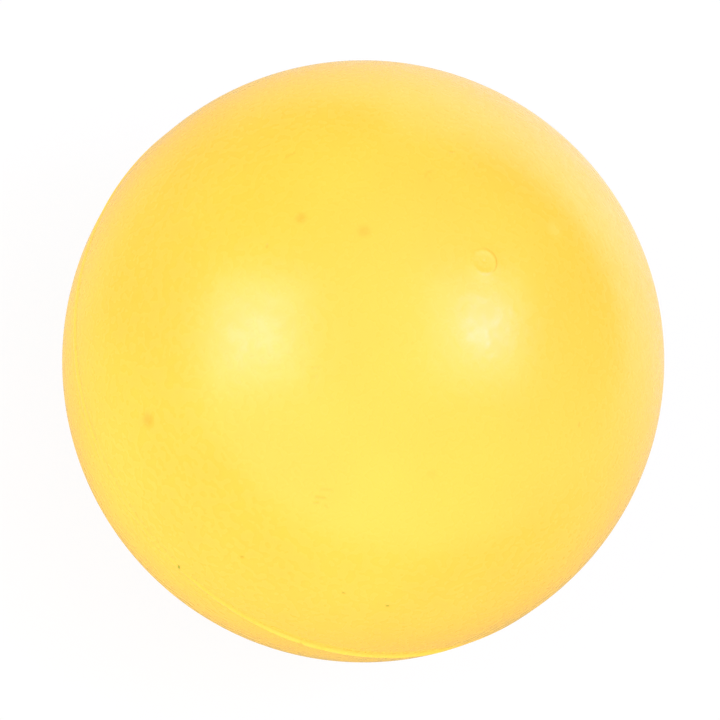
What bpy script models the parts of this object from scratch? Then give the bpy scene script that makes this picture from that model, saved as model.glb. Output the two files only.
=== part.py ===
"""Playground rubber ball: a cover in two halves over a thread-wound bladder, with a valve at the pole.

Units are metres. +Z is up along the valve's axis and the mould's axis, and the origin is the ball's centre.
Every piece is turned about Z from a half section, given as (radius, height) points.
"""

import math

import bmesh
import bpy

MM = 0.001

# The ball and its layers, from the outside in
BALL_DIAMETER = 216 * MM
COVER_WALL = 1.5 * MM
WINDING_WALL = 0.5 * MM
BLADDER_WALL = 0.7 * MM
BOND_GAP = 0.4 * MM  # clearance between pieces that are bonded or pressed together
FLOOR_PATCH_DIAMETER = 20 * MM  # flat that the ball's own weight presses into its underside

# The joint between the two cover halves: a bevelled groove, filled by a strip with a raised bead
SEAM_GROOVE_DEPTH = 0.8 * MM
SEAM_BEAD_WIDTH = 3.6 * MM
SEAM_BEAD_HEIGHT = 1.1 * MM

# The valve body: a neck through the layers, a flange inside the bladder and a barrel for the core
NECK_DIAMETER = 13 * MM
FLANGE_DIAMETER = 30 * MM
FLANGE_WALL = 1.2 * MM
BARREL_DIAMETER = 11 * MM
BARREL_END_WALL = 2.0 * MM
BARREL_END_BEVEL = 1.2 * MM
AIR_HOLE_DIAMETER = 2.0 * MM

# The patch that reinforces the bladder around the valve
PATCH_DIAMETER = 40 * MM
PATCH_WALL = 0.8 * MM

# The valve core: a dished head with a round lip, and a tapered stem with a blind needle hole
HEAD_DIAMETER = 9.0 * MM
HEAD_CLEARANCE = 0.25 * MM
HEAD_LIP_RADIUS = 0.6 * MM
HEAD_LIP_SWEEP = math.radians(120)  # of the lip's round, from the head's side over the crest into the dish
HEAD_LIP_PROUD = 0.2 * MM  # height of the lip above the cover
DISH_DEPTH = 0.2 * MM  # from the lip's crest to the dish's flat floor
DISH_FLOOR_DIAMETER = 6.4 * MM
STEM_TOP_DIAMETER = 6.0 * MM
STEM_END_DIAMETER = 5.2 * MM
STEM_LENGTH = 15 * MM
STEM_END_BEVEL = 0.8 * MM
STEM_CLEARANCE = 0.3 * MM
NEEDLE_HOLE_DIAMETER = 1.4 * MM
NEEDLE_HOLE_DEPTH = 12 * MM

# Facets
SHELL_SEGMENTS = 48
SHELL_RINGS = 24  # from pole to pole
RING_MARGIN = 0.25  # share of a ring's spacing that stays clear of an arc's ends
VALVE_SEGMENTS = 32
ROUND_STEPS = 6  # along a lip or a bead
FLANGE_STEPS = 3
SHARP_ANGLE = math.radians(35)
MERGE_DISTANCE = 0.001 * MM

# Radii of the layers, each a bond gap inside the one before
COVER_OUTER = BALL_DIAMETER / 2
COVER_INNER = COVER_OUTER - COVER_WALL
WINDING_OUTER = COVER_INNER - BOND_GAP
WINDING_INNER = WINDING_OUTER - WINDING_WALL
BLADDER_OUTER = WINDING_INNER - BOND_GAP
BLADDER_INNER = BLADDER_OUTER - BLADDER_WALL
PATCH_OUTER = BLADDER_INNER - BOND_GAP
PATCH_INNER = PATCH_OUTER - PATCH_WALL
FLANGE_OUTER = PATCH_INNER - BOND_GAP
FLANGE_INNER = FLANGE_OUTER - FLANGE_WALL

HEAD_HOLE_RADIUS = HEAD_DIAMETER / 2 + HEAD_CLEARANCE
NECK_HOLE_RADIUS = NECK_DIAMETER / 2 + BOND_GAP
FLOOR_PATCH_ANGLE = math.asin(FLOOR_PATCH_DIAMETER / 2 / COVER_OUTER)


def height_on(sphere_radius, radius):
    """Height of a sphere's upper side at a distance from the axis."""
    return math.sqrt(sphere_radius**2 - radius**2)


# The neck's top face, where the core's head seats, just under the cover
SEAT_HEIGHT = height_on(COVER_INNER, NECK_DIAMETER / 2) - BOND_GAP


def ring_angles(start, end):
    """Polar angles from start to end, on rings that all the layers share to keep their facets parallel."""
    step = math.pi / SHELL_RINGS
    margin = step * RING_MARGIN
    low, high = sorted((start, end))
    inner = [k * step for k in range(1, SHELL_RINGS) if low + margin < k * step < high - margin]
    return [low, *inner, high] if start < end else [high, *reversed(inner), low]


def arc(sphere_radius, start, end):
    """Points on a sphere's half section between two polar angles, which count from the valve's pole."""
    return [(sphere_radius * math.sin(a), sphere_radius * math.cos(a)) for a in ring_angles(start, end)]


def hole_angle(sphere_radius, radius):
    """Polar angle at which a hole of this radius leaves the sphere."""
    return math.asin(radius / sphere_radius)


def floor_arc_end():
    """Polar angle of the flat patch's rim."""
    return math.pi - FLOOR_PATCH_ANGLE


def floor_centre(sphere_radius):
    """Middle of a layer's flat patch, on the axis."""
    return (0, -sphere_radius * math.cos(FLOOR_PATCH_ANGLE))


def cap(sphere_radius, start, end, base, steps):
    """Evenly spaced points on a sphere's upper side between two radii, with their heights above a base."""
    radii = [start + (end - start) * k / steps for k in range(steps + 1)]
    return [(r, height_on(sphere_radius, r) - base) for r in radii]


def plain_material(name, colour, roughness):
    """A plain material with the piece's colour and roughness."""
    material = bpy.data.materials.new(name)
    material.use_nodes = True
    shader = material.node_tree.nodes["Principled BSDF"]
    shader.inputs["Base Color"].default_value = (*colour, 1)
    shader.inputs["Roughness"].default_value = roughness
    shader.inputs["Metallic"].default_value = 0
    return material


def turned(name, section, closed, segments, material, parent):
    """A solid of revolution about its own Z axis. An open section starts and ends on the axis."""
    mesh_edit = bmesh.new()
    points = [mesh_edit.verts.new((radius, 0, height)) for radius, height in section]
    ends = points[1:] + points[:1] if closed else points[1:]
    lines = [mesh_edit.edges.new(pair) for pair in zip(points, ends)]
    bmesh.ops.spin(
        mesh_edit,
        geom=points + lines,
        cent=(0, 0, 0),
        axis=(0, 0, 1),
        angle=2 * math.pi,
        steps=segments,
        use_merge=True,
    )
    bmesh.ops.remove_doubles(mesh_edit, verts=mesh_edit.verts, dist=MERGE_DISTANCE)
    bmesh.ops.recalc_face_normals(mesh_edit, faces=mesh_edit.faces)
    mesh = bpy.data.meshes.new(name)
    mesh_edit.to_mesh(mesh)
    mesh_edit.free()
    mesh.shade_smooth()
    mesh.set_sharp_from_angle(angle=SHARP_ANGLE)
    mesh.materials.append(material)
    piece = bpy.data.objects.new(name, mesh)
    bpy.context.scene.collection.objects.link(piece)
    piece.parent = parent
    return piece


def axis_empty(name, height, parent=None):
    """An empty on the valve's axis that carries pieces."""
    empty = bpy.data.objects.new(name, None)
    bpy.context.scene.collection.objects.link(empty)
    empty.location.z = height
    empty.parent = parent
    return empty


def joint_edge(side):
    """A cover half's edge: its outer end angle, the foot of the groove's bevel and its inner end angle.

    side is 1 on the valve half and -1 on the far half.
    """
    groove_top = SEAM_BEAD_WIDTH / 2 + BOND_GAP
    butt = BOND_GAP / 2
    bevel_foot = (COVER_OUTER - SEAM_GROOVE_DEPTH, side * butt)
    return math.acos(side * groove_top / COVER_OUTER), bevel_foot, math.acos(side * butt / COVER_INNER)


def cover_valve_half(material, parent):
    """The upper half of the cover, with the hole for the valve core's head."""
    groove_angle, bevel_foot, butt_angle = joint_edge(1)
    section = arc(COVER_OUTER, hole_angle(COVER_OUTER, HEAD_HOLE_RADIUS), groove_angle)
    section.append(bevel_foot)
    section += arc(COVER_INNER, butt_angle, hole_angle(COVER_INNER, HEAD_HOLE_RADIUS))
    return turned("cover_valve_half", section, True, SHELL_SEGMENTS, material, parent)


def cover_far_half(material, parent):
    """The lower half of the cover, with the flat patch that meets the floor."""
    groove_angle, bevel_foot, butt_angle = joint_edge(-1)
    section = [floor_centre(COVER_OUTER)]
    section += arc(COVER_OUTER, floor_arc_end(), groove_angle)
    section.append(bevel_foot)
    section += arc(COVER_INNER, butt_angle, floor_arc_end())
    section.append(floor_centre(COVER_INNER))
    return turned("cover_far_half", section, False, SHELL_SEGMENTS, material, parent)


def seam_strip(material, parent):
    """The strip that fills the groove between the halves, a wedge under a raised round bead."""
    half_width = SEAM_BEAD_WIDTH / 2
    section = [(COVER_OUTER - SEAM_GROOVE_DEPTH + BOND_GAP, 0)]
    for k in range(ROUND_STEPS + 1):
        turn = math.pi * (k / ROUND_STEPS - 0.5)
        section.append((COVER_OUTER + SEAM_BEAD_HEIGHT * math.cos(turn), half_width * math.sin(turn)))
    return turned("seam_strip", section, True, SHELL_SEGMENTS, material, parent)


def inner_layer(name, outer, inner, material, parent):
    """A whole shell inside the cover, open at the pole where the valve's neck passes through."""
    section = [floor_centre(inner)]
    section += arc(inner, floor_arc_end(), hole_angle(inner, NECK_HOLE_RADIUS))
    section += arc(outer, hole_angle(outer, NECK_HOLE_RADIUS), floor_arc_end())
    section.append(floor_centre(outer))
    return turned(name, section, False, SHELL_SEGMENTS, material, parent)


def bladder_patch(material, parent):
    """A dished washer on the bladder's inside, between it and the valve's flange."""
    rim = PATCH_DIAMETER / 2
    section = arc(PATCH_OUTER, hole_angle(PATCH_OUTER, NECK_HOLE_RADIUS), hole_angle(PATCH_OUTER, rim))
    section += arc(PATCH_INNER, hole_angle(PATCH_INNER, rim), hole_angle(PATCH_INNER, NECK_HOLE_RADIUS))
    return turned("bladder_patch", section, True, SHELL_SEGMENTS, material, parent)


def valve_body(material, parent):
    """The valve's housing, measured from the seat: its bore takes the core's stem and ends in an air hole."""
    neck, flange, barrel = NECK_DIAMETER / 2, FLANGE_DIAMETER / 2, BARREL_DIAMETER / 2
    bore_top = STEM_TOP_DIAMETER / 2 + STEM_CLEARANCE
    bore_end = STEM_END_DIAMETER / 2 + STEM_CLEARANCE
    bore_floor = BOND_GAP - STEM_LENGTH - STEM_CLEARANCE
    barrel_end = bore_floor - BARREL_END_WALL
    air_hole = AIR_HOLE_DIAMETER / 2
    section = [(bore_top, 0), (neck, 0)]
    section += cap(FLANGE_OUTER, neck, flange, SEAT_HEIGHT, FLANGE_STEPS)
    section += cap(FLANGE_INNER, flange, barrel, SEAT_HEIGHT, FLANGE_STEPS)
    section += [
        (barrel, barrel_end + BARREL_END_BEVEL),
        (barrel - BARREL_END_BEVEL, barrel_end),
        (air_hole, barrel_end),
        (air_hole, bore_floor),
        (bore_end, bore_floor),
    ]
    return turned("valve_body", section, True, VALVE_SEGMENTS, material, parent)


def valve_core(material, parent):
    """The replaceable core, measured from the seat: a lipped, dished head on a tapered, pierced stem."""
    head, needle = HEAD_DIAMETER / 2, NEEDLE_HOLE_DIAMETER / 2
    stem_top, stem_end = STEM_TOP_DIAMETER / 2, STEM_END_DIAMETER / 2
    underside = BOND_GAP
    lip_crest = COVER_OUTER + HEAD_LIP_PROUD - SEAT_HEIGHT
    lip_radius, lip_height = head - HEAD_LIP_RADIUS, lip_crest - HEAD_LIP_RADIUS
    dish_floor = lip_crest - DISH_DEPTH
    needle_end = dish_floor - NEEDLE_HOLE_DEPTH
    stem_bottom = underside - STEM_LENGTH
    section = [(0, needle_end), (needle, needle_end), (needle, dish_floor)]
    section.append((DISH_FLOOR_DIAMETER / 2, dish_floor))
    for k in range(ROUND_STEPS + 1):
        turn = HEAD_LIP_SWEEP * (1 - k / ROUND_STEPS)
        across, up = HEAD_LIP_RADIUS * math.cos(turn), HEAD_LIP_RADIUS * math.sin(turn)
        section.append((lip_radius + across, lip_height + up))
    section += [
        (head, underside),
        (stem_top, underside),
        (stem_end, stem_bottom + STEM_END_BEVEL),
        (stem_end - STEM_END_BEVEL, stem_bottom),
        (0, stem_bottom),
    ]
    return turned("valve_core", section, False, VALVE_SEGMENTS, material, parent)


def main():
    for leftover in list(bpy.data.objects):
        bpy.data.objects.remove(leftover)
    cover_rubber = plain_material("cover_rubber", (0.98, 0.644, 0.061), 0.38)
    core_rubber = plain_material("core_rubber", (0.98, 0.635, 0.061), 0.42)
    winding_nylon = plain_material("winding_nylon", (0.80, 0.79, 0.74), 0.70)
    bladder_butyl = plain_material("bladder_butyl", (0.030, 0.030, 0.032), 0.55)
    valve_butyl = plain_material("valve_butyl", (0.055, 0.055, 0.058), 0.50)
    ball_centre = axis_empty("ball_centre", 0)
    valve_seat = axis_empty("valve_seat", SEAT_HEIGHT, ball_centre)
    cover_valve_half(cover_rubber, ball_centre)
    cover_far_half(cover_rubber, ball_centre)
    seam_strip(cover_rubber, ball_centre)
    inner_layer("thread_winding", WINDING_OUTER, WINDING_INNER, winding_nylon, ball_centre)
    inner_layer("bladder", BLADDER_OUTER, BLADDER_INNER, bladder_butyl, ball_centre)
    bladder_patch(valve_butyl, ball_centre)
    valve_body(valve_butyl, valve_seat)
    valve_core(core_rubber, valve_seat)


main()
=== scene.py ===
# %% [markdown]
# # Dressing a playground rubber ball
#
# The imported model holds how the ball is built: two moulded cover halves, the strip in the seam between
# them, the wound bladder inside, and the valve. This lesson gives each of those pieces its true surface,
# and then lights the ball as a studio would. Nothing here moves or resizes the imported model: it is the
# frame that everything sits on.

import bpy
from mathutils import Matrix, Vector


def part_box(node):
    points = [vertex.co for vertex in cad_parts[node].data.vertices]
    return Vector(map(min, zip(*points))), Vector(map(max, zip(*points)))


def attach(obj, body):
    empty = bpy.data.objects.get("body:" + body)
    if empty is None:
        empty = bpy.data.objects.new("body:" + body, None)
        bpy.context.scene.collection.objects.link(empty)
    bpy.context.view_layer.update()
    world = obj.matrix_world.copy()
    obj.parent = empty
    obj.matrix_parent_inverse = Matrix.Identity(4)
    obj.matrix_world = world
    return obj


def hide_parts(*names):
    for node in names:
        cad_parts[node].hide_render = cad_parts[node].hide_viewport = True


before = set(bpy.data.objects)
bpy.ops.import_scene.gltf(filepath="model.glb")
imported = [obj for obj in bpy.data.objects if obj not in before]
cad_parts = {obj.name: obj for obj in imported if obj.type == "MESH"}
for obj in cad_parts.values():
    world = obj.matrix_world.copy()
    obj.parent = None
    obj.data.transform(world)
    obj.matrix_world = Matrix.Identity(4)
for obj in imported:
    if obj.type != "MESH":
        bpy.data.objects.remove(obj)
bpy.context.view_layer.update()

# %% Blender's own modules, and the sizes that the frame gives
import math
import random

import bmesh
import bpy
from mathutils import Matrix, Vector, geometry, kdtree, noise

MM = 0.001
SEAM_HALF_WIDTH = 2.2 * MM  # of the groove between the cover halves, at the surface
ball_radius = math.hypot(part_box("cover_valve_half")[1].x, SEAM_HALF_WIDTH)
floor_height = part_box("cover_far_half")[0].z
bead_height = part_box("seam_strip")[1].x - ball_radius
core_low, core_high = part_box("valve_core")
head_radius = core_high.x
lip_height = core_high.z
winding_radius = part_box("thread_winding")[1].x
bladder_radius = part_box("bladder")[1].x
patch_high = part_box("bladder_patch")[1]
body_low, body_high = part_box("valve_body")
print("ball radius", round(ball_radius / MM, 2), "mm, bead", round(bead_height / MM, 2), "mm proud")

# %% [markdown]
# ## Where the camera stands
#
# The picture looks down on the valve's side of the ball, with its upright turned away from the valve's
# axis. Two marks settle the view: the valve's disc gives the tilt and the roll, and the seam, a great
# circle, gives the distance, since a near camera sees less than half of a ball. A plain rotation about X
# and then about the line of sight says this in two angles, and it needs no constraint or empty.

# %% Set up the camera
PICTURE_SIZE = 720  # pixels along each side
BALL_CENTRE_PIXEL = (363.2, 361.3)
BALL_EDGE_PIXELS = 301.1  # from that centre to the ball's edge
VALVE_PIXEL = (484, 261)
CAMERA_DISTANCE = 10 * ball_radius
VALVE_TILT = math.radians(28.45)  # between the line of sight and the valve's axis
PICTURE_ROLL = math.radians(50.3)  # about the line of sight
SENSOR_WIDTH = 36  # in Blender's millimetres
CLIP_START = 10 * MM

camera_turn = Matrix.Rotation(VALVE_TILT, 3, "X") @ Matrix.Rotation(PICTURE_ROLL, 3, "Z")
picture_right = camera_turn.col[0].copy()
picture_up = camera_turn.col[1].copy()
line_of_sight = -camera_turn.col[2]
edge_slope = math.tan(math.asin(ball_radius / CAMERA_DISTANCE))
slope_per_pixel = edge_slope / BALL_EDGE_PIXELS
half_picture = PICTURE_SIZE / 2
aside = (BALL_CENTRE_PIXEL[0] - half_picture) * slope_per_pixel
below = (BALL_CENTRE_PIXEL[1] - half_picture) * slope_per_pixel

camera_data = bpy.data.cameras.new("studio_camera")
camera_data.sensor_width = SENSOR_WIDTH
camera_data.lens = SENSOR_WIDTH / 2 / (half_picture * slope_per_pixel)
camera_data.clip_start = CLIP_START
camera = bpy.data.objects.new("studio_camera", camera_data)
bpy.context.scene.collection.objects.link(camera)
camera_place = CAMERA_DISTANCE * (below * picture_up - aside * picture_right - line_of_sight)
camera.matrix_world = Matrix.Translation(camera_place) @ camera_turn.to_4x4()
bpy.context.scene.camera = camera


def point_on_ball(pixel_x, pixel_y):
    """The point of the ball's surface that the camera sees at a pixel of the picture."""
    right = (pixel_x - half_picture) * slope_per_pixel
    down = (pixel_y - half_picture) * slope_per_pixel
    ray = (line_of_sight + right * picture_right - down * picture_up).normalized()
    along = camera_place.dot(ray)
    return camera_place + ray * (-along - math.sqrt(along**2 - camera_place.length_squared + ball_radius**2))


valve_way = point_on_ball(*VALVE_PIXEL).normalized()
print("lens", round(camera_data.lens, 1), "valve faces", [round(axis, 3) for axis in valve_way])

# %% [markdown]
# ## A lathe for half sections
#
# Every piece of the ball is round about the valve's axis, so each starts as a half section: a few points
# and arcs in the XZ plane. A class that extrudes its last vertex for a line, and spins it for an arc, keeps
# the sections readable. One full spin then makes the solid, and its normals are recalculated once the
# doubles on the axis are merged.

# %% The lathe
AXIS = (0, 0, 1)
SHARP_CORNER = math.radians(40)
WELD_DISTANCE = 0.0005 * MM


class HalfSection:
    """A half section drawn as lines and arcs in the XZ plane, ready to be turned about Z."""

    def __init__(self, radius, height):
        self.bm = bmesh.new()
        self.start = self.bm.verts.new((radius, 0, height))
        self.tip = self.start

    def line_to(self, radius, height):
        """A straight line from the last point."""
        made = bmesh.ops.extrude_vert_indiv(self.bm, verts=[self.tip])
        self.tip = made["verts"][0]
        self.tip.co = (radius, 0, height)
        return self

    def arc(self, centre_radius, centre_height, degrees, steps):
        """An arc from the last point about a centre. A positive angle turns from pole to equator."""
        made = bmesh.ops.spin(
            self.bm,
            geom=[self.tip],
            cent=(centre_radius, 0, centre_height),
            axis=(0, 1, 0),
            angle=math.radians(degrees),
            steps=steps,
        )
        self.tip = next(item for item in made["geom_last"] if isinstance(item, bmesh.types.BMVert))
        return self

    def globe_arc(self, end_angle, steps):
        """An arc about the ball's centre, from the last point to a polar angle in degrees from the valve."""
        now = math.degrees(math.atan2(self.tip.co.x, self.tip.co.z))
        return self.arc(0, 0, end_angle - now, steps)

    def close(self):
        """Joins the last point to the first."""
        self.bm.edges.new((self.tip, self.start))
        return self

    def spin(self, angle, steps, copies):
        """One spin of all that is drawn so far, about the axis: a sweep, or separate copies."""
        drawn = self.bm.verts[:] + self.bm.edges[:] + self.bm.faces[:]
        bmesh.ops.spin(
            self.bm, geom=drawn, cent=(0, 0, 0), axis=AXIS, angle=angle, steps=steps, use_duplicate=copies
        )

    def turn(self, sectors, steps):
        """Turns the section once about the axis: one sector is swept, and then copied round."""
        sector = 2 * math.pi / sectors
        self.spin(sector, steps, False)
        self.spin(2 * math.pi - sector, sectors - 1, True)
        bmesh.ops.remove_doubles(self.bm, verts=self.bm.verts, dist=WELD_DISTANCE)
        bmesh.ops.recalc_face_normals(self.bm, faces=self.bm.faces)
        return self.bm


def polar_angle(sphere_radius, radius):
    """Polar angle in degrees at which a sphere lies this far from the axis."""
    return math.degrees(math.asin(radius / sphere_radius))


def sphere_height(sphere_radius, radius):
    """Height of a sphere's upper side at a distance from the axis."""
    return math.sqrt(sphere_radius**2 - radius**2)


def finish_piece(bm, name):
    """Makes an object at the origin from a bmesh, shaded smooth with its true corners kept."""
    mesh = bpy.data.meshes.new(name)
    bm.to_mesh(mesh)
    bm.free()
    mesh.shade_smooth()
    mesh.set_sharp_from_angle(angle=SHARP_CORNER)
    piece = bpy.data.objects.new(name, mesh)
    bpy.context.scene.collection.objects.link(piece)
    print(name, "faces", len(mesh.polygons))
    return piece


# %% [markdown]
# ## The valve half of the cover
#
# The cover is moulded in two halves. Round the valve its rubber swells into a low mound that runs up onto
# the core's lip, so the joint between them hardly shows, except on one side, where it has opened and is
# painted dark, a painted shade in the gap. One function gives the height of all that: dish, lip and mound.
# At the equator the edge is bevelled for the seam. A sphere primitive would have none of this, so the half
# is turned from a section: hole wall, mound, globe, bevel, butt face and inner wall.

# %% Turn the valve half
COVER_WALL = 1.5 * MM
HOLE_CLEARANCE = 0.006 * MM
HOLE_ROUND = 0.02 * MM
DISH_DEPTH = 0.10 * MM  # under the lip's crest
DISH_FLOOR_RADIUS = 2.0 * MM
LIP_CREST_RADIUS = 4.0 * MM
LIP_FOOT_RADIUS = 5.0 * MM
MOUND_HEIGHT = 0.10 * MM
MOUND_RADIUS = 7.6 * MM
MOUND_STEPS = 14
ROUND_STEPS = 3
JOINT_PIXEL = (498, 256)  # on the side where the joint round the core has opened
JOINT_OPENING = 0.06 * MM
# painted shade in the opened joint, as a share of the dark olive colour
JOINT_PAINTED_SHADE = 0.4
JOINT_BAND = 0.3 * MM  # width of the hole's edge that gives way
GROOVE_DEPTH = 0.8 * MM
BUTT_GAP = 0.2 * MM  # from the equator to each half's butt face
COVER_SECTORS = 18
COVER_SECTOR_STEPS = 20
COVER_STEPS = 84  # along the globe in each half
INNER_STEPS = 24

cover_inner = ball_radius - COVER_WALL
hole_radius = head_radius + HOLE_CLEARANCE
seam_angle = 90 - polar_angle(ball_radius, SEAM_HALF_WIDTH)
butt_angle = 90 - polar_angle(cover_inner, BUTT_GAP)


def ease(value, low, high):
    """Rises smoothly from 0 at the low value to 1 at the high one."""
    share = min(1, max(0, (value - low) / (high - low)))
    return share**2 * (3 - 2 * share)


def valve_top(radius):
    """Height of the ball's outside near the valve: the core's dish and lip, and the mound round them."""
    if radius < LIP_CREST_RADIUS:
        return lip_height - DISH_DEPTH * (1 - ease(radius, DISH_FLOOR_RADIUS, LIP_CREST_RADIUS))
    swelling = MOUND_HEIGHT * (1 - ease(radius, LIP_FOOT_RADIUS, MOUND_RADIUS))
    mound = sphere_height(ball_radius, radius) + swelling
    return lip_height + (mound - lip_height) * ease(radius, LIP_CREST_RADIUS, LIP_FOOT_RADIUS)


def valve_half_section():
    """Section of the valve half, from the hole's inner edge round to the inner wall."""
    section = HalfSection(hole_radius, sphere_height(cover_inner, hole_radius))
    shoulder = hole_radius + HOLE_ROUND
    section.line_to(hole_radius, valve_top(shoulder) - HOLE_ROUND)
    section.arc(shoulder, valve_top(shoulder) - HOLE_ROUND, 90, ROUND_STEPS)
    for step in range(1, MOUND_STEPS + 1):
        radius = shoulder + (MOUND_RADIUS - shoulder) * step / MOUND_STEPS
        section.line_to(radius, valve_top(radius))
    section.globe_arc(seam_angle, COVER_STEPS)
    section.line_to(ball_radius - GROOVE_DEPTH, BUTT_GAP)
    section.line_to(cover_inner * math.sin(math.radians(butt_angle)), BUTT_GAP)
    section.globe_arc(polar_angle(cover_inner, hole_radius), INNER_STEPS)
    return section.close()


def open_joint(bm):
    """Draws the hole's edge away from the core on one side, and paints shade into the opened joint."""
    dirt_and_joint_shade_layer = bm.verts.layers.float.new("dirt_and_joint_shade")
    open_way = (point_on_ball(*JOINT_PIXEL) * Vector((1, 1, 0))).normalized()
    for vertex in bm.verts:
        across = vertex.co * Vector((1, 1, 0))
        if across.length < hole_radius + JOINT_BAND:
            facing = max(0, across.normalized().dot(open_way)) ** 2
            vertex.co += across.normalized() * JOINT_OPENING * facing
            # painted shade where the joint has opened, kept in the same layer as the dirt in the marks
            vertex[dirt_and_joint_shade_layer] = JOINT_PAINTED_SHADE * facing


valve_half_bm = valve_half_section().turn(COVER_SECTORS, COVER_SECTOR_STEPS)
open_joint(valve_half_bm)
print("valve half", len(valve_half_bm.faces), "faces")

# %% [markdown]
# ## The far half of the cover
#
# The far half mirrors the first, without a valve. The ball's weight presses a small flat into it where it
# stands, and the frame's lowest height says where. The section runs from the flat's middle to the seam and
# back inside.

# %% Turn the far half
flat_radius = math.sqrt(ball_radius**2 - floor_height**2)
flat_angle = 180 - polar_angle(ball_radius, flat_radius)


def far_half_section():
    """Section of the far half, from the middle of its flat round to the middle of the flat's inside."""
    section = HalfSection(0, floor_height)
    section.line_to(flat_radius, floor_height)
    section.globe_arc(180 - seam_angle, COVER_STEPS)
    section.line_to(ball_radius - GROOVE_DEPTH, -BUTT_GAP)
    section.line_to(cover_inner * math.sin(math.radians(butt_angle)), -BUTT_GAP)
    section.globe_arc(flat_angle, INNER_STEPS)
    return section.line_to(0, cover_inner * math.cos(math.radians(flat_angle)))


far_half_bm = far_half_section().turn(COVER_SECTORS, COVER_SECTOR_STEPS)
print("far half", len(far_half_bm.faces), "faces")

# %% [markdown]
# ## Marks in the skin
#
# Grit in the mould and knocks in play leave pits and short scratches, most of them about a millimetre wide.
# The cover's faces are about two millimetres wide, so the faces near each mark are first split with
# subdivide_edges, and then their points are pressed in along the globe's normal. A k-d tree finds the
# nearest mark quickly. A bump map would fade in the model that others load, so the marks are real, and a
# float layer keeps how much dirt has settled in each.

# %% Press the marks
MARK_RADIUS = 0.62 * MM
MARK_DEPTH = 0.15 * MM
MARK_SAMPLES = 4  # points of each stroke that go into the k-d tree
MARK_PIXELS = {  # first and last pixel of the stroke, and how dirty it is
    "by_the_seam": ((179, 568), (179, 566), 0.95),
    "low_left": ((241, 557), (243, 557), 0.50),
    "low_middle": ((343, 593), (344, 593), 0.60),
    "low_right": ((387, 606), (388, 606), 0.80),
    "upper_left": ((267, 245), (267, 247), 0.28),
    "right": ((579, 423), (579, 426), 0.28),
    "top_right": ((450, 152), (454, 152), 0.24),
    "top_right_lower": ((475, 163), (478, 165), 0.18),
    "top_left": ((286, 157), (294, 153), 0.22),
    "hook_side": ((425, 177), (427, 172), 0.14),
    "hook_top": ((427, 172), (432, 171), 0.18),
    "hook_end": ((429, 178), (430, 181), 0.12),
    "middle": ((312, 368), (318, 367), 0.12),
    "middle_lower": ((312, 377), (316, 376), 0.10),
    "scratch_high": ((321, 489), (331, 490), 0.14),
    "scratch_long": ((316, 497), (325, 498), 0.22),
    "scratch_short": ((314, 503), (318, 503), 0.20),
    "scratch_low": ((325, 505), (327, 508), 0.16),
}
OTHER_MARKS = 16
OTHER_SEED = 8
OTHER_LENGTH = 1.5 * MM
OTHER_DIRT = (0.1, 0.5)
FAR_SIDE = 0.1  # least cosine to the line of sight, which keeps the other marks out of the picture
OTHER_BAND = (0.05, 0.95)  # shares of the radius along the axis, clear of the seam and the poles
SPLITS = [(3.0 * MM, 3), (1.1 * MM, 2)]  # reach about a mark, and cuts in each edge within it
SKIN_DEPTH = 0.3 * MM  # outer points lie above it

marks = [(point_on_ball(*first), point_on_ball(*last), dirt_and_joint_shade) for first, last, dirt_and_joint_shade in MARK_PIXELS.values()]
scatter = random.Random(OTHER_SEED)
while len(marks) < len(MARK_PIXELS) + OTHER_MARKS:
    way = Vector([scatter.gauss(0, 1) for axis in range(3)]).normalized()
    aside_way = Vector([scatter.gauss(0, 1) for axis in range(3)]).cross(way).normalized()
    if way.dot(line_of_sight) > FAR_SIDE and OTHER_BAND[0] < abs(way.z) < OTHER_BAND[1]:
        start = way * ball_radius
        end = start + aside_way * OTHER_LENGTH * scatter.random()
        marks.append((start, end, scatter.uniform(*OTHER_DIRT)))

mark_tree = kdtree.KDTree(len(marks) * MARK_SAMPLES)
for number, (first, last, dirt_and_joint_shade) in enumerate(marks):
    for sample in range(MARK_SAMPLES):
        mark_tree.insert(first.lerp(last, sample / (MARK_SAMPLES - 1)), number)
mark_tree.balance()


def finer_near_marks(bm, reach, cuts):
    """Splits the outer faces within reach of a mark, and puts the new points back on the globe."""
    near = [face for face in bm.faces if mark_tree.find(face.calc_center_median())[2] < reach]
    edges = {edge for face in near for edge in face.edges}
    made = bmesh.ops.subdivide_edges(bm, edges=list(edges), cuts=cuts, use_grid_fill=True)
    for item in made["geom_inner"]:
        if isinstance(item, bmesh.types.BMVert) and item.co.length > ball_radius - SKIN_DEPTH:
            item.co = item.co.normalized() * ball_radius


def press_marks(bm):
    """Presses the marks into a piece of the skin and notes the dirt in them."""
    dirt_and_joint_shade_layer = bm.verts.layers.float.get("dirt_and_joint_shade") or bm.verts.layers.float.new("dirt_and_joint_shade")
    for vertex in bm.verts:
        number = mark_tree.find(vertex.co)[1]
        first, last, dirt_and_joint_shade = marks[number]
        along = min(1, max(0, geometry.intersect_point_line(vertex.co, first, last)[1]))
        share = (vertex.co - first.lerp(last, along)).length / MARK_RADIUS
        if share < 1:
            vertex[dirt_and_joint_shade_layer] = dirt_and_joint_shade * (1 - share**2)
            vertex.co -= first.normalized() * MARK_DEPTH * min(1, 2 * dirt_and_joint_shade) * (1 - share**2) ** 2


for half_bm in (valve_half_bm, far_half_bm):
    for reach, cuts in SPLITS:
        finer_near_marks(half_bm, reach, cuts)
    press_marks(half_bm)
cover_valve = finish_piece(valve_half_bm, "cover_valve_skin")
cover_far = finish_piece(far_half_bm, "cover_far_skin")

# %% [markdown]
# ## The bead along the seam
#
# Rubber squeezed out between the mould's halves stands up as a bead, and someone has trimmed it by hand.
# Along one stretch the knife left it whole, and elsewhere it is cut nearly flush. It wanders, and in one
# place the knife slipped and left a step. A bell curve gives the bead soft feet that run into the cover. A
# few marks round the seam say how much of its height is left there, and noise adds the small unevenness of
# the hand.

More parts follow.
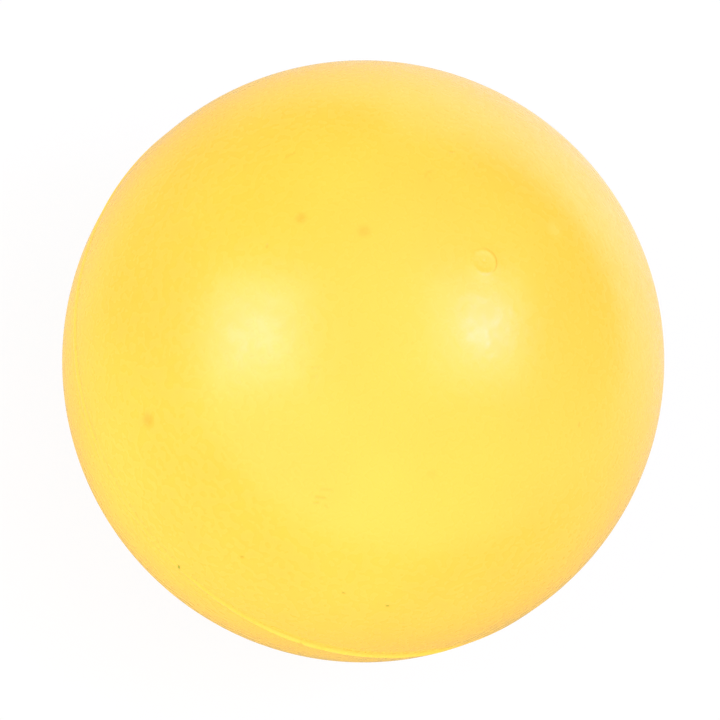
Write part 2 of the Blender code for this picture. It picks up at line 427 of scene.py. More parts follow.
# %% Turn and trim the bead
BEAD_SECTORS = 40
BEAD_SECTOR_STEPS = 36
BEAD_STEPS = 16
WEDGE_DEPTH = 0.5 * MM
TRIM_PIXELS = {  # a pixel on the seam, and the share of the bead's height that is left there
    "right": ((560, 584), 0.10),
    "right_of_tip": ((482, 634), 0.25),
    "tip": ((428, 651), 1.0),
    "bottom": ((300, 642), 1.0),
    "lower_left": ((213, 597), 0.45),
    "at_the_speck": ((178, 567), 0.12),
    "left": ((100, 460), 0.10),
    "upper_left": ((75, 291), 0.40),
    "top_left": ((150, 155), 0.45),
}
TRIM_VARIATION = 0.08  # share of the bead's height
TRIM_WAVES = 9
BURR = 0.08  # the same, for the fine burr
BURR_WAVES = 60
WANDER = 0.10 * MM
WANDER_WAVES = 5
BELL_POWER = 1.3
STEP_PIXEL = (300, 642)  # where the knife slipped
STEP_SHIFT = 0.35 * MM
STEP_FADE = math.radians(16)
NICK_WIDTH = math.radians(0.45)
NICK_DEPTH = 0.35  # share of the bead's height


def seam_azimuth(pixel):
    """Azimuth round the valve's axis of the point that the camera sees at a pixel near the seam."""
    point = point_on_ball(*pixel)
    return math.atan2(point.y, point.x)


step_azimuth = seam_azimuth(STEP_PIXEL)
trim_marks = sorted((seam_azimuth(pixel), share) for pixel, share in TRIM_PIXELS.values())


def left_standing(azimuth):
    """Share of the bead's height left at an azimuth, eased from each trim mark to the next."""
    after = next((k for k, mark in enumerate(trim_marks) if mark[0] > azimuth), 0)
    (start, low), (end, high) = trim_marks[after - 1], trim_marks[after]
    gap = (end - start) % (2 * math.pi)
    return low + (high - low) * ease((azimuth - start) % (2 * math.pi), 0, gap)


def bell(height):
    """Share of the bead's full height at a distance from the equator."""
    return (0.5 + 0.5 * math.cos(math.pi * height / SEAM_HALF_WIDTH)) ** BELL_POWER


def bead_section():
    """Section of the bead: its round outside, and the wedge that fills the groove."""
    section = HalfSection(sphere_height(ball_radius, SEAM_HALF_WIDTH), SEAM_HALF_WIDTH)
    for step in range(1, BEAD_STEPS + 1):
        height = SEAM_HALF_WIDTH * (1 - 2 * step / BEAD_STEPS)
        section.line_to(sphere_height(ball_radius, height) + bead_height * bell(height), height)
    section.line_to(ball_radius - WEDGE_DEPTH, 0)
    return section.close()


def trim_bead(bm):
    """Moves the bead's points as the hand did, with one step and nick, and notes the height that is left for
    a painted highlight.
    """
    ridge_highlight_layer = bm.verts.layers.float.new("ridge_highlight")
    for vertex in bm.verts:
        proud = vertex.co.xy.length - sphere_height(ball_radius, vertex.co.z)
        if proud <= 0:
            continue
        share = proud / bead_height
        azimuth = math.atan2(vertex.co.y, vertex.co.x)
        round_way = Vector((math.cos(azimuth), math.sin(azimuth), 0))
        slow = 0.5 + 0.5 * noise.noise(round_way * TRIM_WAVES)
        quick = abs(noise.noise(round_way * BURR_WAVES))
        uneven = TRIM_VARIATION * slow + BURR * quick
        trimmed = 1 - left_standing(azimuth) * (1 - uneven)
        past_step = (azimuth - step_azimuth + math.pi) % (2 * math.pi) - math.pi
        nick = math.exp(-((past_step / NICK_WIDTH) ** 2))
        shift = WANDER * noise.noise(round_way * WANDER_WAVES)
        if past_step < 0:
            shift += STEP_SHIFT * math.exp(past_step / STEP_FADE)
        lower = proud * min(1, trimmed + NICK_DEPTH * nick)
        # the height that is left becomes a painted highlight on the bead's ridge
        vertex[ridge_highlight_layer] = (proud - lower) / bead_height
        vertex.co -= round_way * lower
        vertex.co.z += shift * share


bead_bm = bead_section().turn(BEAD_SECTORS, BEAD_SECTOR_STEPS)
trim_bead(bead_bm)
press_marks(bead_bm)
seam_bead = finish_piece(bead_bm, "seam_bead")

# %% [markdown]
# ## The valve core
#
# The core is a rubber plug. Its head shows as a disc with a soft lip and a shallow dish, and the needle's
# hole in the middle has closed up to a dimple, as rubber does. Under the head a tapered stem fills the
# valve body's bore. The head follows the same heights as the cover round it, so a loop places its points,
# and one small arc rounds its edge.

# %% Turn the valve core
CORE_SECTORS = 12
CORE_SECTOR_STEPS = 8
HEAD_STEPS = 36
DIMPLE_RADIUS = 0.9 * MM
DIMPLE_DEPTH = 0.07 * MM
PINHOLE_RADIUS = 0.06 * MM
PINHOLE_DEPTH = 12 * MM
STEM_LENGTH = 15 * MM
STEM_TOP_RADIUS = 3.0 * MM
STEM_END_RADIUS = 2.6 * MM
STEM_END_ROUND = 0.8 * MM
STEM_END_STEPS = 5

head_flat = head_radius - HOLE_ROUND  # where the round of the head's edge begins
head_underside = core_low.z + STEM_LENGTH


def head_top(radius):
    """Height of the head, with the closed needle hole's dimple in its middle."""
    return valve_top(radius) - DIMPLE_DEPTH * (1 - ease(radius, 0, DIMPLE_RADIUS))


def core_section():
    """Section of the core, from the bottom of its pinhole over the head and down the stem."""
    section = HalfSection(0, lip_height - PINHOLE_DEPTH)
    section.line_to(PINHOLE_RADIUS, lip_height - PINHOLE_DEPTH)
    for step in range(HEAD_STEPS + 1):
        radius = PINHOLE_RADIUS + (head_flat - PINHOLE_RADIUS) * step / HEAD_STEPS
        section.line_to(radius, head_top(radius))
    section.arc(head_flat, head_top(head_flat) - HOLE_ROUND, 90, ROUND_STEPS)
    section.line_to(head_radius, head_underside)
    section.line_to(STEM_TOP_RADIUS, head_underside)
    section.line_to(STEM_END_RADIUS, core_low.z + STEM_END_ROUND)
    section.arc(STEM_END_RADIUS - STEM_END_ROUND, core_low.z + STEM_END_ROUND, 90, STEM_END_STEPS)
    return section.line_to(0, core_low.z)


valve_core = finish_piece(core_section().turn(CORE_SECTORS, CORE_SECTOR_STEPS), "valve_core_plug")

# %% [markdown]
# ## The wound thread
#
# Under the cover, nylon thread is wound round and round the bladder on great circles until the ball is
# stiff and round. One ring of thread is spun, and then copied and turned at random. Rings that would cross
# the valve's hole are left out, as the winding machine leaves them out. A thin latex shell under the rings
# holds them together.

# %% Wind the thread
THREAD = 0.26 * MM
THREAD_SIDES = 5
RING_SEGMENTS = 96
RINGS = 150
RING_SEED = 21
THREAD_SINK = 0.6  # share of a thread, from the outside to the middle of a ring
NECK_HOLE_RADIUS = 6.9 * MM
WINDING_WALL = 0.5 * MM
HOLE_MARGIN = math.radians(0.6)
SHELL_SECTORS = 16
SHELL_SECTOR_STEPS = 8
SHELL_STEPS = 56

clear_of_hole = math.sin(math.asin(NECK_HOLE_RADIUS / winding_radius) + HOLE_MARGIN)
latex_outer = winding_radius - THREAD


def shell_section(outer, inner, hole):
    """Section of a whole shell with a hole at the valve and the ball's flat underneath."""
    flat_cosine = math.cos(math.radians(flat_angle))
    section = HalfSection(0, inner * flat_cosine)
    section.line_to(inner * math.sin(math.radians(flat_angle)), inner * flat_cosine)
    section.globe_arc(polar_angle(inner, hole), SHELL_STEPS)
    section.line_to(hole, sphere_height(outer, hole))
    section.globe_arc(flat_angle, SHELL_STEPS)
    return section.line_to(0, outer * flat_cosine)


def thread_ring():
    """One closed ring of thread round the equator, as a mesh to copy."""
    bm = bmesh.new()
    made = bmesh.ops.create_circle(bm, segments=THREAD_SIDES, radius=THREAD / 2)
    outwards = Matrix.Translation((winding_radius - THREAD_SINK * THREAD, 0, 0))
    upright = outwards @ Matrix.Rotation(math.pi / 2, 4, "X")
    bmesh.ops.transform(bm, matrix=upright, verts=made["verts"])
    bmesh.ops.spin(
        bm,
        geom=bm.verts[:] + bm.edges[:],
        cent=(0, 0, 0),
        axis=AXIS,
        angle=2 * math.pi,
        steps=RING_SEGMENTS,
        use_merge=True,
    )
    bmesh.ops.recalc_face_normals(bm, faces=bm.faces)
    mesh = bpy.data.meshes.new("thread_ring")
    bm.to_mesh(mesh)
    bm.free()
    return mesh


def wind_thread(bm):
    """Adds rings of thread to a shell, each on its own great circle clear of the valve's hole."""
    spool = random.Random(RING_SEED)
    ring = thread_ring()
    for count in range(RINGS):
        pole = Vector((0, 0, 0))
        while abs(pole.z) < clear_of_hole:
            pole = Vector([spool.gauss(0, 1) for axis in range(3)]).normalized()
        copy = ring.copy()
        copy.transform(Vector(AXIS).rotation_difference(pole).to_matrix().to_4x4())
        bm.from_mesh(copy)
        bpy.data.meshes.remove(copy)
    bpy.data.meshes.remove(ring)
    lowest = winding_radius * math.cos(math.radians(flat_angle))
    for vertex in bm.verts:
        if vertex.co.length > latex_outer:
            vertex.co.z = max(vertex.co.z, lowest + THREAD / 4)


latex_section = shell_section(latex_outer, winding_radius - WINDING_WALL, NECK_HOLE_RADIUS)
winding_bm = latex_section.turn(SHELL_SECTORS, SHELL_SECTOR_STEPS)
wind_thread(winding_bm)
thread_winding = finish_piece(winding_bm, "thread_winding_wound")

# %% [markdown]
# ## Bladder, patch and valve body
#
# The butyl pieces inside are plain turned shapes. Their corners come out of a mould with a small round,
# which a bevel of the sharp edges gives, with the editor's defaults written out because the operator's own
# defaults differ.

# %% Turn the pieces inside
BLADDER_WALL = 0.7 * MM
PATCH_WALL = 0.8 * MM
FLANGE_WALL = 1.2 * MM
LAYER_GAP = 0.4 * MM
NECK_RADIUS = 6.5 * MM
BARREL_RADIUS = 5.5 * MM
BORE_TOP_RADIUS = 3.3 * MM
BORE_END_RADIUS = 2.9 * MM
BARREL_END_WALL = 2.0 * MM
BARREL_BEVEL = 1.2 * MM
AIR_HOLE_RADIUS = 1.0 * MM
MOULD_ROUND = 0.15 * MM
FITTING_STEPS = 12


def round_corners(bm, width):
    """Bevels every edge that is sharper than the shading keeps."""
    sharp = [edge for edge in bm.edges if edge.calc_face_angle(0) > SHARP_CORNER]
    bmesh.ops.bevel(
        bm,
        geom=sharp,
        offset=width,
        offset_type="OFFSET",
        affect="EDGES",
        segments=3,
        profile=0.5,
        material=-1,
        clamp_overlap=True,
    )
    return bm


def patch_section():
    """Section of the dished washer round the valve's neck, inside the bladder."""
    outer = patch_sphere
    rim = patch_high.x
    section = HalfSection(NECK_HOLE_RADIUS, sphere_height(outer, NECK_HOLE_RADIUS))
    section.globe_arc(polar_angle(outer, rim), FITTING_STEPS)
    section.line_to(rim, sphere_height(outer - PATCH_WALL, rim))
    section.globe_arc(polar_angle(outer - PATCH_WALL, NECK_HOLE_RADIUS), FITTING_STEPS)
    return section.close()


def body_section():
    """Section of the valve body: neck, flange and barrel round the tapered bore."""
    seat = body_high.z
    flange = body_high.x
    barrel_end = body_low.z
    bore_floor = barrel_end + BARREL_END_WALL
    section = HalfSection(BORE_TOP_RADIUS, seat)
    section.line_to(NECK_RADIUS, seat)
    section.line_to(NECK_RADIUS, sphere_height(flange_sphere, NECK_RADIUS))
    section.globe_arc(polar_angle(flange_sphere, flange), FITTING_STEPS)
    section.line_to(flange, sphere_height(flange_sphere - FLANGE_WALL, flange))
    section.globe_arc(polar_angle(flange_sphere - FLANGE_WALL, BARREL_RADIUS), FITTING_STEPS)
    section.line_to(BARREL_RADIUS, barrel_end + BARREL_BEVEL)
    section.line_to(BARREL_RADIUS - BARREL_BEVEL, barrel_end)
    section.line_to(AIR_HOLE_RADIUS, barrel_end)
    section.line_to(AIR_HOLE_RADIUS, bore_floor)
    section.line_to(BORE_END_RADIUS, bore_floor)
    return section.close()


patch_sphere = math.hypot(patch_high.z, NECK_HOLE_RADIUS)
flange_sphere = patch_sphere - PATCH_WALL - LAYER_GAP
bladder_section = shell_section(bladder_radius, bladder_radius - BLADDER_WALL, NECK_HOLE_RADIUS)
bladder_bm = bladder_section.turn(SHELL_SECTORS, SHELL_SECTOR_STEPS)
bladder = finish_piece(round_corners(bladder_bm, MOULD_ROUND), "bladder_moulded")
patch_bm = patch_section().turn(CORE_SECTORS, CORE_SECTOR_STEPS)
bladder_patch = finish_piece(round_corners(patch_bm, MOULD_ROUND), "bladder_patch_moulded")
body_bm = body_section().turn(CORE_SECTORS, CORE_SECTOR_STEPS)
valve_body = finish_piece(round_corners(body_bm, MOULD_ROUND), "valve_body_moulded")

# %% [markdown]
# ## Tools for materials
#
# Materials are node trees. Two helpers keep them short: one adds a node with its settings and links, and
# one starts a node group with named sockets. A group is built once and used by several materials, each with
# its own values.

# %% Helpers for node trees


def add_node(tree, kind, inputs=None, **settings):
    """Adds a node. An input that is a socket is linked, and any other value is set."""
    made = tree.nodes.new(kind)
    for name, value in settings.items():
        setattr(made, name, value)
    for name, value in (inputs or {}).items():
        if isinstance(value, bpy.types.NodeSocket):
            tree.links.new(value, made.inputs[name])
        else:
            made.inputs[name].default_value = value
    return made


def do_math(tree, operation, first, second=0.0):
    """The result of a Math node."""
    return add_node(tree, "ShaderNodeMath", {0: first, 1: second}, operation=operation).outputs[0]


def mix_colour(tree, share, first, second):
    """A colour between two others."""
    colours = [(*colour, 1) if isinstance(colour, tuple) else colour for colour in (first, second)]
    made = add_node(tree, "ShaderNodeMix", {0: share, 6: colours[0], 7: colours[1]}, data_type="RGBA")
    return made.outputs[2]


def remap(tree, value, from_low, from_high, to_low, to_high, smooth=False):
    """A value moved from one range to another and kept inside it."""
    steps = {0: value, 1: from_low, 2: from_high, 3: to_low, 4: to_high}
    curve = "SMOOTHSTEP" if smooth else "LINEAR"
    return add_node(tree, "ShaderNodeMapRange", steps, interpolation_type=curve).outputs[0]


def new_group(name, inputs, outputs):
    """Starts a shader node group. inputs maps names to a type and a default, outputs lists names."""
    group = bpy.data.node_groups.new(name, "ShaderNodeTree")
    for socket_name, (socket_type, default) in inputs.items():
        socket = group.interface.new_socket(name=socket_name, in_out="INPUT", socket_type=socket_type)
        socket.default_value = default
    for socket_name in outputs:
        group.interface.new_socket(name=socket_name, in_out="OUTPUT", socket_type="NodeSocketFloat")
    return group, group.nodes.new("NodeGroupInput").outputs, group.nodes.new("NodeGroupOutput")


def place(tree, group, inputs):
    """Places a node group and sets or links its inputs."""
    made = tree.nodes.new("ShaderNodeGroup")
    made.node_tree = group
    for name, value in inputs.items():
        if isinstance(value, bpy.types.NodeSocket):
            tree.links.new(value, made.inputs[name])
        else:
            made.inputs[name].default_value = value
    return made.outputs


def new_material(name, roughness):
    """A material with one Principled shader, and its tree."""
    material = bpy.data.materials.new(name)
    material.use_nodes = True
    shader = material.node_tree.nodes["Principled BSDF"]
    shader.inputs["Roughness"].default_value = roughness
    return material, material.node_tree, shader


# %% [markdown]
# ## What moulded rubber shows: peel, mottle and spots
#
# Close up, the skin has a fine orange peel from the mould, a couple of millimetres from crest to crest,
# which breaks the lamps' reflections into flakes. The pigment isn't mixed evenly, so the colour drifts a
# little. Here and there a grain of darker pigment has melted into a soft amber spot. Two groups hold these:
# skin and spot.

# %% Build the groups
PEEL_SIZE = 3.0 * MM  # from crest to crest
DRIFT_SIZE = 45 * MM
GRAIN_FINENESS = 4.5  # times finer than the peel
BLOOM_FINENESS = 4.0  # times finer than the drift
SKIN_DETAIL = {"Peel": 0.8, "Grain": 2.0, "Drift": 3.0, "Bloom": 4.0}
SPOT_CORE = 0.15  # share of a spot's radius that has its full strength


def build_skin_group():
    """Heights and drifts of a moulded skin, from the object's own coordinates."""
    group, given, result = new_group(
        "moulded_skin",
        {"Peel Size": ("NodeSocketFloat", PEEL_SIZE), "Drift Size": ("NodeSocketFloat", DRIFT_SIZE)},
        ["Peel", "Grain", "Drift", "Bloom"],
    )
    where = add_node(group, "ShaderNodeTexCoord").outputs["Object"]
    peel_scale = do_math(group, "DIVIDE", 1.0, given["Peel Size"])
    drift_scale = do_math(group, "DIVIDE", 1.0, given["Drift Size"])
    grain_scale = do_math(group, "MULTIPLY", peel_scale, GRAIN_FINENESS)
    bloom_scale = do_math(group, "MULTIPLY", drift_scale, BLOOM_FINENESS)
    scales = {"Peel": peel_scale, "Grain": grain_scale, "Drift": drift_scale, "Bloom": bloom_scale}
    for name, scale in scales.items():
        settings = {"Vector": where, "Scale": scale, "Detail": SKIN_DETAIL[name]}
        made = add_node(group, "ShaderNodeTexNoise", settings)
        group.links.new(made.outputs[0], result.inputs[name])
    return group


def build_spot_group():
    """A round mask about a point: 1 in the middle, 0 past the radius."""
    group, given, result = new_group(
        "round_spot",
        {"Centre": ("NodeSocketVector", (0, 0, 0)), "Radius": ("NodeSocketFloat", 1 * MM)},
        ["Mask"],
    )
    where = add_node(group, "ShaderNodeTexCoord").outputs["Object"]
    gap = add_node(group, "ShaderNodeVectorMath", {0: where, 1: given["Centre"]}, operation="DISTANCE")
    share = do_math(group, "DIVIDE", gap.outputs["Value"], given["Radius"])
    group.links.new(remap(group, share, SPOT_CORE, 1.0, 1.0, 0.0, smooth=True), result.inputs["Mask"])
    return group


skin_group = build_skin_group()
spot_group = build_spot_group()
print("groups", skin_group.name, spot_group.name)

# %% [markdown]
# ## The yellow rubber
#
# The cover, the bead and the core share a warm yellow. Each blemish sits at the pixel where the picture
# shows it, carried onto the ball by the camera. Amber spots are soft and wide, the dirt in the marks is
# small and olive, the same olive is painted shade in the valve's opened joint, and the bead is painted paler
# the higher it stands, a painted highlight on its ridge. Old rubber has a bloom on it that scatters light
# back, so the edge of the ball doesn't darken as a smooth ball's would, and the shader's diffuse roughness
# gives that. The gloss changes with the peel, which breaks the highlights up, and peel and grain feed one
# Bump node.

# %% Mix the yellow rubber
YELLOW = (0.98, 0.590, 0.059)
YELLOW_WARM = (0.97, 0.553, 0.0505)
AMBER = (0.92, 0.43, 0.028)
PALE = (1.0, 0.78, 0.22)
# olive of the dirt in the marks, and of the painted shade in the valve's opened joint
DIRT_AND_JOINT_SHADE = (0.22, 0.33, 0.002)
# painted highlight on the bead's ridge
PAINTED_RIDGE_HIGHLIGHT = (1.0, 0.685, 0.074)  # of the bead where it stands whole
RUBBER_DUSTING = 0.8  # how far the bloom on the skin scatters light back, which keeps the edge bright
AMBER_PIXELS = {  # pixel, radius in mm, strength
    "upper_left": ((301, 218), 3.0, 0.48),
    "upper_middle": ((364, 231), 3.2, 0.40),
    "left": ((148, 420), 3.8, 0.58),
    "lower_right": ((432, 474), 2.6, 0.14),
}
PALE_PIXEL = ((555, 230), 4.6, 0.15)
PEEL_DEPTH = 0.08 * MM
CORE_PEEL_SIZE = 1.6 * MM
CORE_PEEL_DEPTH = 0.06 * MM
GRAIN_SHARE = 0.04  # of the peel's depth
BLOOM_SHARE = 0.5  # beside the peel, in how the gloss changes
GLOSS_RANGE = (0.55, 0.95)
ROUGHNESS_RANGE = (0.21, 0.34)
DRIFT_RANGE = (0.35, 0.65)
DRIFT_SHARE = 0.6  # of the way to the warm yellow


def on_ball(spots):
    """Spots given by pixel, radius in mm and strength, carried onto the ball."""
    return [(point_on_ball(*pixel), radius * MM, strength) for pixel, radius, strength in spots]


def spots_mask(tree, spots):
    """The strongest of several round spots, each a point, a radius and a strength."""
    total = None
    for point, radius, strength in spots:
        mask = place(tree, spot_group, {"Centre": point, "Radius": radius})["Mask"]
        mask = do_math(tree, "MULTIPLY", mask, strength)
        total = mask if total is None else do_math(tree, "MAXIMUM", total, mask)
    return total


def yellow_rubber(name, peel_size, peel_depth, blemished):
    """The ball's yellow rubber."""
    material, tree, shader = new_material(name, ROUGHNESS_RANGE[1])
    skin = place(tree, skin_group, {"Peel Size": peel_size})
    warmth = remap(tree, skin["Drift"], *DRIFT_RANGE, 0.0, DRIFT_SHARE)
    colour = mix_colour(tree, warmth, YELLOW, YELLOW_WARM)
    if blemished:
        amber = on_ball(AMBER_PIXELS.values())
        colour = mix_colour(tree, spots_mask(tree, amber), colour, AMBER)
        pale = on_ball([PALE_PIXEL])
        colour = mix_colour(tree, spots_mask(tree, pale), colour, PALE)
        dirt_and_joint_shade = add_node(tree, "ShaderNodeAttribute", attribute_name="dirt_and_joint_shade").outputs["Fac"]
        ridge_highlight = add_node(tree, "ShaderNodeAttribute", attribute_name="ridge_highlight").outputs["Fac"]
        # painted highlight: the bead is painted paler the higher it stands
        colour = mix_colour(tree, ridge_highlight, colour, PAINTED_RIDGE_HIGHLIGHT)
        # olive dirt in the marks, and painted shade in the opened joint round the valve core
        colour = mix_colour(tree, dirt_and_joint_shade, colour, DIRT_AND_JOINT_SHADE)
    tree.links.new(colour, shader.inputs["Base Color"])
    shader.inputs["Diffuse Roughness"].default_value = RUBBER_DUSTING
    gloss = do_math(tree, "ADD", skin["Peel"], do_math(tree, "MULTIPLY", skin["Bloom"], BLOOM_SHARE))
    tree.links.new(remap(tree, gloss, *GLOSS_RANGE, *ROUGHNESS_RANGE), shader.inputs["Roughness"])
    height = do_math(tree, "ADD", skin["Peel"], do_math(tree, "MULTIPLY", skin["Grain"], GRAIN_SHARE))
    bump = add_node(tree, "ShaderNodeBump", {"Height": height, "Distance": peel_depth, "Strength": 1.0})
    tree.links.new(bump.outputs[0], shader.inputs["Normal"])
    return material


cover_rubber = yellow_rubber("moulded_yellow_rubber", PEEL_SIZE, PEEL_DEPTH, True)
core_rubber = yellow_rubber("core_yellow_rubber", CORE_PEEL_SIZE, CORE_PEEL_DEPTH, False)
for piece in (cover_valve, cover_far, seam_bead):
    piece.data.materials.append(cover_rubber)
valve_core.data.materials.append(core_rubber)

# %% [markdown]
# ## Thread and butyl
#
# The pieces inside show only when the ball is cut open or its core is pulled. The thread is white nylon
# stained by latex, and the butyl is black with a dusting of the talc that keeps it from sticking while the
# ball is wound.

# %% Mix the materials inside
NYLON = (0.80, 0.78, 0.70)
LATEX_STAIN = (0.72, 0.62, 0.40)
BUTYL = (0.022, 0.022, 0.024)
TALC = (0.16, 0.16, 0.155)
ROUGHNESS_DRIFT = 0.08
INSIDE_DRIFT_SIZE = 18 * MM
INSIDE_DRIFT_RANGE = (0.3, 0.7)


def two_tone(name, first, second, low, high, peel_size, depth, roughness):
    """A material that drifts between two tones and carries its own fine relief."""
    material, tree, shader = new_material(name, roughness)
    skin = place(tree, skin_group, {"Peel Size": peel_size, "Drift Size": INSIDE_DRIFT_SIZE})
    share = remap(tree, skin["Bloom"], low, high, 0.0, 1.0, smooth=True)
    colour = mix_colour(tree, share, first, second)
    tree.links.new(colour, shader.inputs["Base Color"])
    least, most = roughness - ROUGHNESS_DRIFT, roughness + ROUGHNESS_DRIFT
    drift = remap(tree, skin["Drift"], *INSIDE_DRIFT_RANGE, least, most)
    tree.links.new(drift, shader.inputs["Roughness"])
    bump = add_node(tree, "ShaderNodeBump", {"Height": skin["Grain"], "Distance": depth, "Strength": 1.0})
    tree.links.new(bump.outputs[0], shader.inputs["Normal"])
    return material


thread_nylon = two_tone(
    "latexed_nylon_thread",
    NYLON,
    LATEX_STAIN,
    low=0.45,
    high=0.75,
    peel_size=1.2 * MM,
    depth=0.05 * MM,
    roughness=0.68,
)
bladder_butyl = two_tone(
    "talced_butyl", BUTYL, TALC, low=0.50, high=0.80, peel_size=2.0 * MM, depth=0.03 * MM, roughness=0.60
)
fitting_butyl = two_tone(
    "moulded_butyl", BUTYL, TALC, low=0.58, high=0.90, peel_size=1.0 * MM, depth=0.02 * MM, roughness=0.50
)
thread_winding.data.materials.append(thread_nylon)
bladder.data.materials.append(bladder_butyl)
bladder_patch.data.materials.append(fitting_butyl)
valve_body.data.materials.append(fitting_butyl)

# %% [markdown]
# ## The floor
#
# The ball stands on a white table, which turns up into a slanting sweep behind it. Light Path lifts it to
# white where the camera sees it, and a share of its own shading stays, so the ball's shadow does too. In
# reflections the table glows with painted brightnesses, one close to the ball and another far away on each
# side, brightest far behind, and on one side it is painted darker, a painted shade where a dark card would
# stand, as photographers put one there to keep the edge of a pale thing from washing out.

# %% Lay the floor
FLOOR_SIZE = 12.0
FLOOR_CELLS = 8  # along each side
BACK_EDGE = 0.49  # share of the floor's size past which a point is on its back edge
FLOOR_CLEARANCE = 0.2 * MM
FLOOR_COLOUR = (0.86, 0.86, 0.86)
FLOOR_LIFT = 0.90  # share of plain white that the camera sees
SWEEP_HEIGHT = 1.2  # metres, in the middle
SWEEP_SLANT = 0.30  # metres that it falls for each metre to the right
SWEEP_LOWEST = 0.1
FLOOR_NEAR = {  # direction, and brightness in reflections close to the ball
    "behind": ((0, 1, 0), 0.45),
    "front": ((0, -1, 0), 0.35),
    "right": ((1, 0, 0), 0.36),
    "left": ((-1, 0, 0), 0.70),
}
FLOOR_FAR = {  # the same far from it
    "behind": ((0, 1, 0), 1.6),
    "right": ((1, 0, 0), 0.16),
}
NEAR_REACH = 0.5  # metres over which one becomes the other
# painted shade in the floor's reflections on one side, where a dark card would stand
PAINTED_SHADE_WAY = (-0.75, -0.66, 0.0)
PAINTED_SHADE_NEAR = 0.2  # metres from the ball
PAINTED_SHADE_SOFT = 0.1
PAINTED_SHADE_LEVEL = 0.15


def floor_mesh():
    """A large flat floor, turned up along the side behind the ball."""
    bm = bmesh.new()
    bmesh.ops.create_grid(bm, x_segments=FLOOR_CELLS, y_segments=FLOOR_CELLS, size=FLOOR_SIZE / 2)
    bmesh.ops.translate(bm, vec=(0, 0, floor_height - FLOOR_CLEARANCE), verts=bm.verts)
    back = FLOOR_SIZE * BACK_EDGE
    behind = [edge for edge in bm.edges if all(point.co.y > back for point in edge.verts)]
    made = bmesh.ops.extrude_edge_only(bm, edges=behind)
    raised = [item for item in made["geom"] if isinstance(item, bmesh.types.BMVert)]
    for vertex in raised:
        vertex.co.z += max(SWEEP_LOWEST, SWEEP_HEIGHT - SWEEP_SLANT * vertex.co.x)
    return bm


def lobes(tree, way, sides):
    """Brightness in a direction: the sum of squared cosines from each side's direction."""
    total = 0.0
    for direction, brightness in sides.values():
        facing = add_node(tree, "ShaderNodeVectorMath", {0: way, 1: direction}, operation="DOT_PRODUCT")
        cosine = do_math(tree, "MAXIMUM", facing.outputs["Value"], 0.0)
        lobe = do_math(tree, "MULTIPLY", do_math(tree, "POWER", cosine, 2.0), brightness)
        total = do_math(tree, "ADD", total, lobe)
    return total


def floor_material():
    """White to the camera, matte to the light, and with painted brightnesses of its own in reflections."""
    material = bpy.data.materials.new("white_floor")
    material.use_nodes = True
    tree = material.node_tree
    tree.nodes.clear()
    rays = add_node(tree, "ShaderNodeLightPath").outputs
    seen = do_math(tree, "MAXIMUM", rays["Is Camera Ray"], rays["Is Transmission Ray"])
    lift = do_math(tree, "MAXIMUM", do_math(tree, "MULTIPLY", seen, FLOOR_LIFT), rays["Is Glossy Ray"])
    where = add_node(tree, "ShaderNodeTexCoord").outputs["Object"]
    across = add_node(tree, "ShaderNodeVectorMath", {0: where, 1: (1, 1, 0)}, operation="MULTIPLY").outputs[0]
    reach = add_node(tree, "ShaderNodeVectorMath", {0: across}, operation="LENGTH").outputs["Value"]
    near = do_math(tree, "EXPONENT", do_math(tree, "DIVIDE", reach, -NEAR_REACH))
    way = add_node(tree, "ShaderNodeVectorMath", {0: across}, operation="NORMALIZE").outputs[0]
    far_and_near = {0: near, 2: lobes(tree, way, FLOOR_FAR), 3: lobes(tree, way, FLOOR_NEAR)}
    lit = add_node(tree, "ShaderNodeMix", far_and_near).outputs[0]
    to_painted_shade = add_node(tree, "ShaderNodeVectorMath", {0: where, 1: PAINTED_SHADE_WAY}, operation="DOT_PRODUCT")
    distance = to_painted_shade.outputs["Value"]
    # painted shade: the floor's glow in reflections is lowered on that side
    painted_shade = remap(tree, distance, PAINTED_SHADE_NEAR, PAINTED_SHADE_NEAR + PAINTED_SHADE_SOFT, 1.0, PAINTED_SHADE_LEVEL, smooth=True)
    mirrored = do_math(tree, "MULTIPLY", lit, painted_shade)
    shown = add_node(tree, "ShaderNodeMix", {0: rays["Is Glossy Ray"], 2: 1.0, 3: mirrored}).outputs[0]
    matte = add_node(tree, "ShaderNodeBsdfDiffuse", {"Color": (*FLOOR_COLOUR, 1)})
    white = add_node(tree, "ShaderNodeEmission", {"Color": (1, 1, 1, 1), "Strength": shown})
    both = add_node(tree, "ShaderNodeMixShader", {0: lift, 1: matte.outputs[0], 2: white.outputs[0]})
    add_node(tree, "ShaderNodeOutputMaterial", {"Surface": both.outputs[0]})
    material.cycles.emission_sampling = "NONE"
    return material


floor = finish_piece(floor_mesh(), "studio_floor")
floor.data.materials.append(floor_material())

# %% [markdown]
# ## The light
#
# Two square soft boxes make the highlights, each with a cooler, smaller one in its middle. The picture
# shows where each highlight lies, so the camera's ray is reflected there to find the way to the lamp. A
# ceiling and pale walls on the camera's side and the right fill the shadows, and the other two walls are
# nearly dark. Each wall is a lobe of the sky: the squared cosine from its direction. Squared cosines along
# the axes add up to one, so equal walls would make an even sky.

# %% Hang the lamps and paint the sky
LAMP_DISTANCE = 1.5
WHITE_LIGHT = (1.0, 1.0, 1.0)
COOL_LIGHT = (0.3, 0.35, 1.0)
LAMPS = {  # pixel of the highlight, size in metres, watts, colour
    "left_box": ((256, 330), 1.1, 8.3, WHITE_LIGHT),
    "left_core": ((254, 333), 0.56, 3.8, COOL_LIGHT),
    "right_box": ((480, 328), 1.1, 6.1, WHITE_LIGHT),
    "right_core": ((485, 326), 0.38, 5.2, COOL_LIGHT),
}
WALLS = {  # direction and brightness
    "ceiling": ((0, 0, 1), 1.23),
    "camera_side": ((0, -1, 0), 1.54),
    "far_side": ((0, 1, 0), 0.08),
    "right_side": ((1, 0, 0), 0.95),
    "left_side": ((-1, 0, 0), 0.08),
}


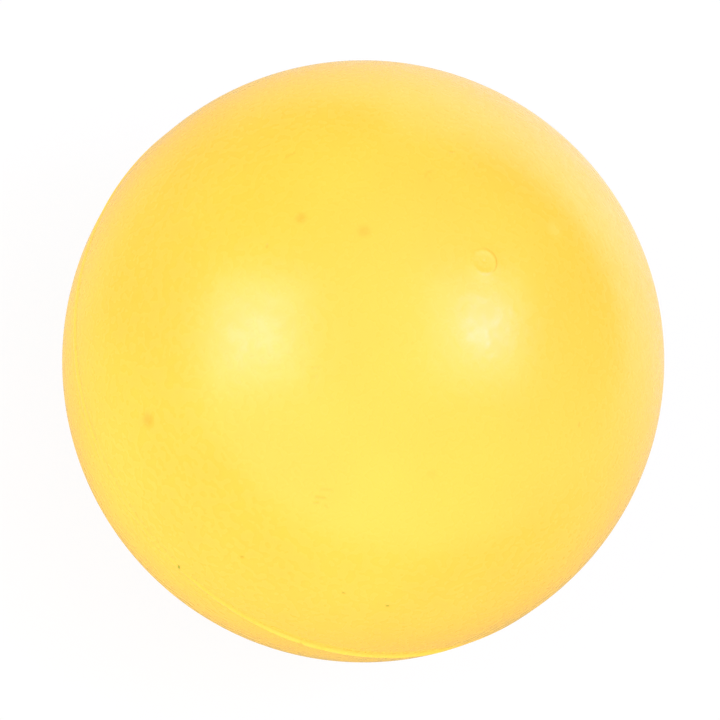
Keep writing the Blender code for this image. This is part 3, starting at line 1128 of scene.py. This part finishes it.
def hang_lamp(name, pixel, size, watts, colour):
    """A square area lamp, hung where the ball mirrors it to the camera at a pixel, upright there."""
    data = bpy.data.lights.new(name, "AREA")
    data.shape = "SQUARE"
    data.size = size
    data.energy = watts
    data.color = colour
    lamp = bpy.data.objects.new(name, data)
    mirror_point = point_on_ball(*pixel)
    facing = mirror_point.normalized()
    ray = (mirror_point - camera_place).normalized()
    right = picture_right - ray * ray.dot(picture_right)
    axes = [axis.reflect(facing).normalized() for axis in (right, right.cross(ray), ray)]
    lamp_turn = Matrix(axes).transposed().to_4x4()
    lamp.matrix_world = Matrix.Translation(mirror_point + axes[2] * LAMP_DISTANCE) @ lamp_turn
    bpy.context.scene.collection.objects.link(lamp)


def paint_sky():
    """Walls and a ceiling, plain white where the camera sees them."""
    world = bpy.data.worlds.new("studio_sky")
    bpy.context.scene.world = world
    world.use_nodes = True
    tree = world.node_tree
    way = add_node(tree, "ShaderNodeTexCoord").outputs["Generated"]
    rays = add_node(tree, "ShaderNodeLightPath").outputs
    seen = do_math(tree, "MAXIMUM", rays["Is Camera Ray"], rays["Is Transmission Ray"])
    strength = add_node(tree, "ShaderNodeMix", {0: seen, 2: lobes(tree, way, WALLS), 3: 1.0}).outputs[0]
    tree.nodes["Background"].inputs["Color"].default_value = (1, 1, 1, 1)
    tree.links.new(strength, tree.nodes["Background"].inputs["Strength"])


for name, settings in LAMPS.items():
    hang_lamp(name, *settings)
paint_sky()
bpy.context.scene.view_settings.view_transform = "Standard"
print("lamps", sorted(LAMPS), "walls", sorted(WALLS))

# %% [markdown]
# ## Every piece rides on its body
#
# Each piece stands for one node of the imported model and moves with that node's body, so the core slides out
# of the ball and all the rest stays together.

# %% Ride, replace and finish
DRESSED = [
    (cover_valve, "ball", "cover_valve_half", "cover_rubber"),
    (cover_far, "ball", "cover_far_half", "cover_rubber"),
    (seam_bead, "ball", "seam_strip", "cover_rubber"),
    (thread_winding, "ball", "thread_winding", "winding_nylon"),
    (bladder, "ball", "bladder", "bladder_butyl"),
    (bladder_patch, "ball", "bladder_patch", "valve_butyl"),
    (valve_body, "ball", "valve_body", "valve_butyl"),
    (valve_core, "valve_core", "valve_core", "core_rubber"),
]
for piece, body, node, slot in DRESSED:
    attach(piece, body)
    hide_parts(node)
